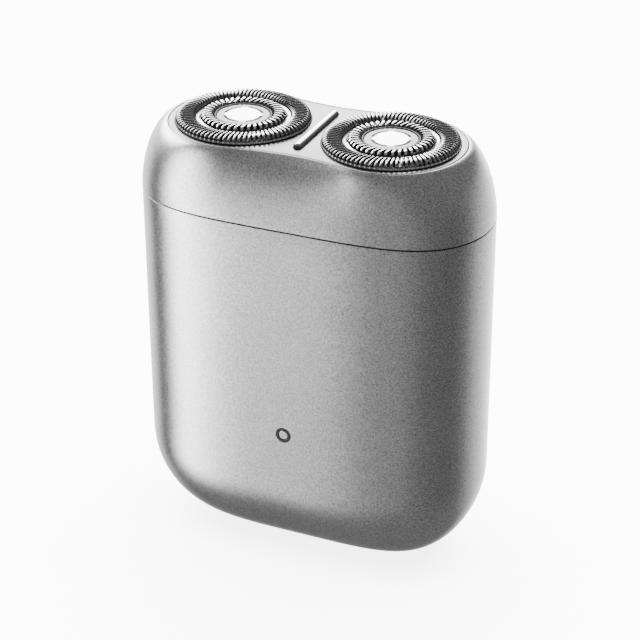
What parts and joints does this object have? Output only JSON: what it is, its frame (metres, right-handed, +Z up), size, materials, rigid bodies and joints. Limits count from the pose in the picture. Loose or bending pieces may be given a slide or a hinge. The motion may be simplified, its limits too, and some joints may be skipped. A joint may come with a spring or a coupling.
{
  "type": "electric shaver",
  "caption": "Pocket rotary electric shaver: flat rounded body, lift-off head with floating slotted foils, geared spinning cutters, power button, charging port.",
  "frame": {"origin": "middle of the flat strip the shaver stands on", "axes": "+Z up through the heads, +X to the right along the width, +Y to the rear, so the front with the indicator faces -Y"},
  "size_m": [0.063, 0.0298, 0.0796],
  "materials": {
    "silver_shell": "bead-blasted satin silver with a fine sparkle",
    "satin_plate": "smooth satin",
    "cutter_steel": "polished stainless steel",
    "chrome": "mirror chrome",
    "plain_steel": "plain nickel-plated steel",
    "plate_metal": "plain pressed metal",
    "battery_can": "shrink-wrapped cell, blue",
    "brass": "machined brass",
    "white_nylon": "moulded natural nylon",
    "grey_plastic": "moulded dark grey",
    "black_plastic": "moulded black",
    "gloss_black": "smoked light guide, black when unlit",
    "dark_rubber": "soft matte seal",
    "circuit_board": "green solder mask"
  },
  "bodies": {
    "body": {"body_shell": "silver_shell", "deck": "grey_plastic", "spindle_seal_left": "dark_rubber", "spindle_seal_right": "dark_rubber", "deck_screw_left": "plain_steel", "deck_screw_right": "plain_steel", "body_magnet_front": "plain_steel", "body_magnet_rear": "plain_steel", "gear_plate": "plate_metal", "gear_pin_left": "plain_steel", "gear_pin_right": "plain_steel", "motor_can": "plate_metal", "motor_end_cap": "black_plastic", "chassis": "black_plastic", "battery": "battery_can", "battery_tab_left": "plain_steel", "battery_tab_right": "plain_steel", "main_board": "circuit_board", "control_chip": "black_plastic", "tact_switch": "grey_plastic", "button_seal": "dark_rubber", "indicator_ring": "gloss_black", "indicator_core": "silver_shell", "led": "white_nylon", "led_board": "circuit_board", "usb_port": "plain_steel", "usb_tongue": "black_plastic", "usb_board": "circuit_board"},
    "button": {"power_button": "silver_shell"},
    "rotor": {"motor_shaft": "plain_steel", "motor_pinion": "brass"},
    "left_gear": {"drive_gear_left": "white_nylon", "spindle_spring_left": "plain_steel"},
    "right_gear": {"drive_gear_right": "white_nylon", "spindle_spring_right": "plain_steel"},
    "left_spindle": {"spindle_left": "black_plastic"},
    "right_spindle": {"spindle_right": "black_plastic"},
    "head": {"head_shell": "silver_shell", "top_plate": "satin_plate", "trim_bar": "chrome", "retaining_frame": "black_plastic", "head_magnet_front": "plain_steel", "head_magnet_rear": "plain_steel"},
    "left_foil": {"foil_left": "cutter_steel", "foil_cap_left": "satin_plate"},
    "right_foil": {"foil_right": "cutter_steel", "foil_cap_right": "satin_plate"},
    "left_cutter": {"blade_left": "cutter_steel", "blade_carrier_left": "black_plastic"},
    "right_cutter": {"blade_right": "cutter_steel", "blade_carrier_right": "black_plastic"}
  },
  "joints": [
    {"name": "head_lift", "type": "slide", "parent": "body", "child": "head", "axis": [0, 0, 1], "range_m": [0, 0.02]},
    {"name": "foil_press_left", "type": "slide", "parent": "head", "child": "left_foil", "axis": [0, 0, -1], "range_m": [0, 0.001], "stiffness_N_per_m": 800, "springref_m": -0.0002},
    {"name": "foil_press_right", "type": "slide", "parent": "head", "child": "right_foil", "axis": [0, 0, -1], "range_m": [0, 0.001], "stiffness_N_per_m": 800, "springref_m": -0.0002},
    {"name": "cutter_spin_left", "type": "hinge", "parent": "left_foil", "child": "left_cutter", "pos_m": [-0.0135, 0, 0.077], "axis": [0, 0, 1], "continuous": true},
    {"name": "cutter_spin_right", "type": "hinge", "parent": "right_foil", "child": "right_cutter", "pos_m": [0.0135, 0, 0.077], "axis": [0, 0, 1], "continuous": true},
    {"name": "gear_spin_left", "type": "hinge", "parent": "body", "child": "left_gear", "pos_m": [-0.0135, 0, 0.058], "axis": [0, 0, 1], "continuous": true},
    {"name": "gear_spin_right", "type": "hinge", "parent": "body", "child": "right_gear", "pos_m": [0.0135, 0, 0.058], "axis": [0, 0, 1], "continuous": true},
    {"name": "motor_spin", "type": "hinge", "parent": "body", "child": "rotor", "pos_m": [0, 0, 0.058], "axis": [0, 0, 1], "continuous": true},
    {"name": "spindle_press_left", "type": "slide", "parent": "left_gear", "child": "left_spindle", "axis": [0, 0, -1], "range_m": [0, 0.001], "deforming": ["spindle_spring_left"]},
    {"name": "spindle_press_right", "type": "slide", "parent": "right_gear", "child": "right_spindle", "axis": [0, 0, -1], "range_m": [0, 0.001], "deforming": ["spindle_spring_right"]},
    {"name": "button_press", "type": "slide", "parent": "body", "child": "button", "axis": [0, -1, 0], "range_m": [0, 0.0005], "stiffness_N_per_m": 1500}
  ],
  "couplings": [
    {"joint": "gear_spin_right", "follows": "gear_spin_left", "ratio": 1},
    {"joint": "motor_spin", "follows": "gear_spin_left", "ratio": -3.5},
    {"joint": "cutter_spin_left", "follows": "gear_spin_left", "ratio": 1},
    {"joint": "cutter_spin_right", "follows": "gear_spin_left", "ratio": 1},
    {"joint": "spindle_press_left", "follows": "foil_press_left", "ratio": 1},
    {"joint": "spindle_press_right", "follows": "foil_press_right", "ratio": 1}
  ]
}
